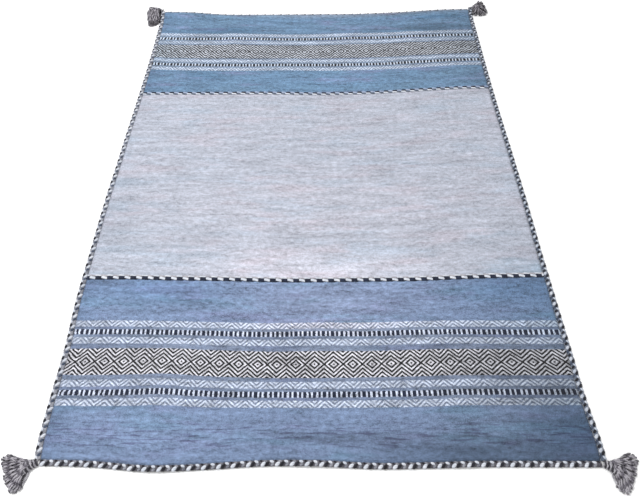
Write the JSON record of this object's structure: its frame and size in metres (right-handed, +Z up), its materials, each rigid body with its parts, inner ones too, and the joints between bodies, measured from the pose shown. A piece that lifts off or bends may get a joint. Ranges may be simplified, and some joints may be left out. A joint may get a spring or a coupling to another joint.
{
  "type": "kilim",
  "caption": "Flat-woven kilim rug in blues and greys with banded ends, twined cross cords, a plaited edge and corner tassels.",
  "frame": {"origin": "on the underside, at the middle of the rug", "axes": "+X across the rug to the right, +Y along the rug from its near end to its far end, +Z up out of its face"},
  "size_m": [1.5582, 2.1322, 0.0269],
  "materials": {
    "web": "flat-woven cotton, matt, blue, light grey and patterned bands",
    "plait": "three-strand plait of white, black and grey yarn, matt",
    "cross_cord": "twined black, white and grey yarn, matt",
    "tassel": "marled grey two-ply yarn, matt"
  },
  "bodies": {
    "root": {"cloth": "web", "plait_left": "plait", "plait_near": "plait", "plait_right": "plait", "plait_far": "plait", "cross_cord_near": "cross_cord", "cross_cord_far": "cross_cord", "tassel_near_left": "tassel", "tassel_near_right": "tassel", "tassel_far_left": "tassel", "tassel_far_right": "tassel"}
  },
  "joints": []
}
